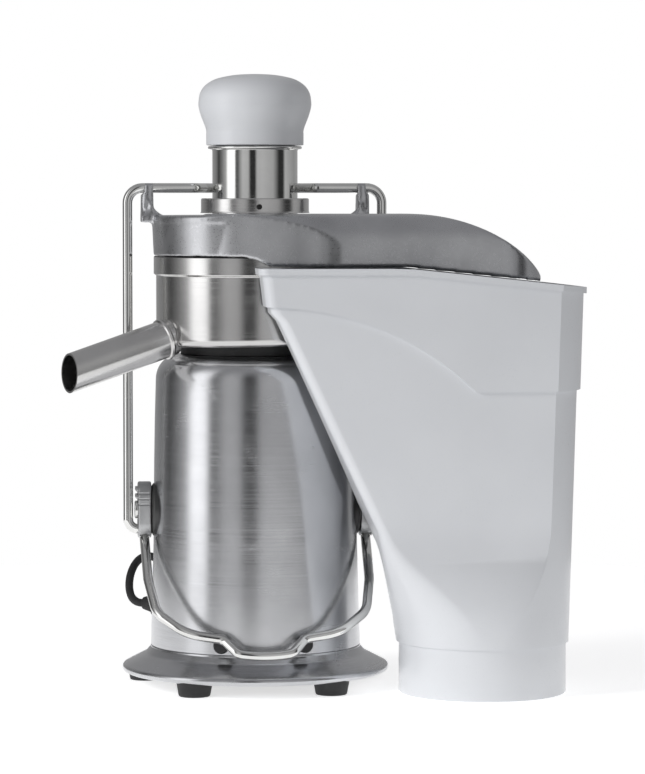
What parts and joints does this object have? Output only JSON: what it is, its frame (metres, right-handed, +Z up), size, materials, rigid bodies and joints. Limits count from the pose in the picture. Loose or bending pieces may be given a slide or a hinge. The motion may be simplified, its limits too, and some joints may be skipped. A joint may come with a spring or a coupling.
{
  "type": "centrifugal juicer",
  "caption": "Upright juicer with a motor drum, bowl and spout, lid with feed tube and pulp hood, wire clamp, and a separate tall pulp bin.",
  "frame": {"origin": "middle of the footprint on the surface it stands on, the free cord left out", "axes": "+Z up along the rotor, the front towards -Y, the pulp bin towards +X and the juice spout towards -X"},
  "size_m": [0.4276, 0.3624, 0.506],
  "materials": {
    "brushed_aluminium": "brushed",
    "satin_steel": "satin",
    "cast_aluminium": "satin cast",
    "polished_steel": "polished",
    "dark_metal": "satin black",
    "plain_steel": "machined",
    "copper": "lacquered wire",
    "black_rubber": "matte",
    "white_plastic": "satin gloss",
    "black_plastic": "matte"
  },
  "bodies": {
    "machine": {"base_flange": "brushed_aluminium", "cover_screw_1": "plain_steel", "cover_screw_2": "plain_steel", "cover_screw_3": "plain_steel", "cover_screw_4": "plain_steel", "base_cover": "dark_metal", "rubber_foot_1": "black_rubber", "rubber_foot_2": "black_rubber", "rubber_foot_3": "black_rubber", "rubber_foot_4": "black_rubber", "rubber_foot_5": "black_rubber", "motor_housing": "brushed_aluminium", "lower_bearing_bracket": "plain_steel", "lower_bearing": "plain_steel", "upper_bearing_bracket": "plain_steel", "upper_bearing": "plain_steel", "motor_stator": "plain_steel", "lower_winding": "copper", "upper_winding": "copper", "run_capacitor": "black_plastic", "terminal_block": "white_plastic", "shaft_seal": "black_rubber", "juice_bowl": "satin_steel", "juice_spout": "satin_steel", "bowl_seat_ring": "black_rubber", "lid": "cast_aluminium", "lid_gasket": "black_rubber", "feed_collar": "satin_steel", "collar_set_screw": "dark_metal", "feed_tube": "polished_steel", "left_pivot_boss": "dark_metal", "left_pivot_pin": "plain_steel", "right_pivot_boss": "dark_metal", "right_pivot_pin": "plain_steel", "left_rest_buffer": "black_rubber", "right_rest_buffer": "black_rubber", "switch_frame": "black_plastic", "cable_gland": "black_rubber", "power_cord": "black_rubber", "cord_coil": "black_rubber", "plug": "black_plastic"},
    "rotor": {"motor_shaft": "plain_steel", "motor_rotor": "plain_steel", "cooling_fan": "black_plastic", "drive_hub": "plain_steel", "strainer_basket": "plain_steel", "grater_disc": "plain_steel", "basket_nut": "plain_steel"},
    "pusher": {"pusher_knob": "white_plastic", "pusher_stem": "white_plastic"},
    "handle": {"clamp_handle": "polished_steel", "left_clamp_lever": "plain_steel", "right_clamp_lever": "plain_steel"},
    "bail": {"clamp_bail": "polished_steel"},
    "rocker": {"switch_rocker": "black_plastic"},
    "bin": {"pulp_bin": "white_plastic"}
  },
  "joints": [
    {"name": "rotor_spin", "type": "hinge", "parent": "machine", "child": "rotor", "pos_m": [-0.05168, 0.01435, 0.3], "axis": [0, 0, 1], "continuous": true},
    {"name": "pusher_lift", "type": "slide", "parent": "machine", "child": "pusher", "axis": [0, 0, 1], "range_m": [0, 0.16]},
    {"name": "handle_swing", "type": "hinge", "parent": "machine", "child": "handle", "pos_m": [-0.05168, 0.01435, 0.1455], "axis": [-1, 0, 0], "range_deg": [0, 90]},
    {"name": "bail_swing", "type": "hinge", "parent": "handle", "child": "bail", "pos_m": [-0.05168, 0.01435, 0.1295], "axis": [-1, 0, 0], "range_deg": [-72.5, 0]},
    {"name": "bin_pull", "type": "slide", "parent": "machine", "child": "bin", "axis": [0, -1, 0], "range_m": [0, 0.3]},
    {"name": "switch_rock", "type": "hinge", "parent": "machine", "child": "rocker", "pos_m": [-0.01252, 0.08799, 0.092], "axis": [-0.8829, 0.4695, 0], "range_deg": [-6, 6]}
  ],
  "couplings": [
    {"joint": "bail_swing", "follows": "handle_swing", "ratio": -0.8},
    {"joint": "bin_pull", "follows": "handle_swing", "m_per_rad": 0.184}
  ]
}
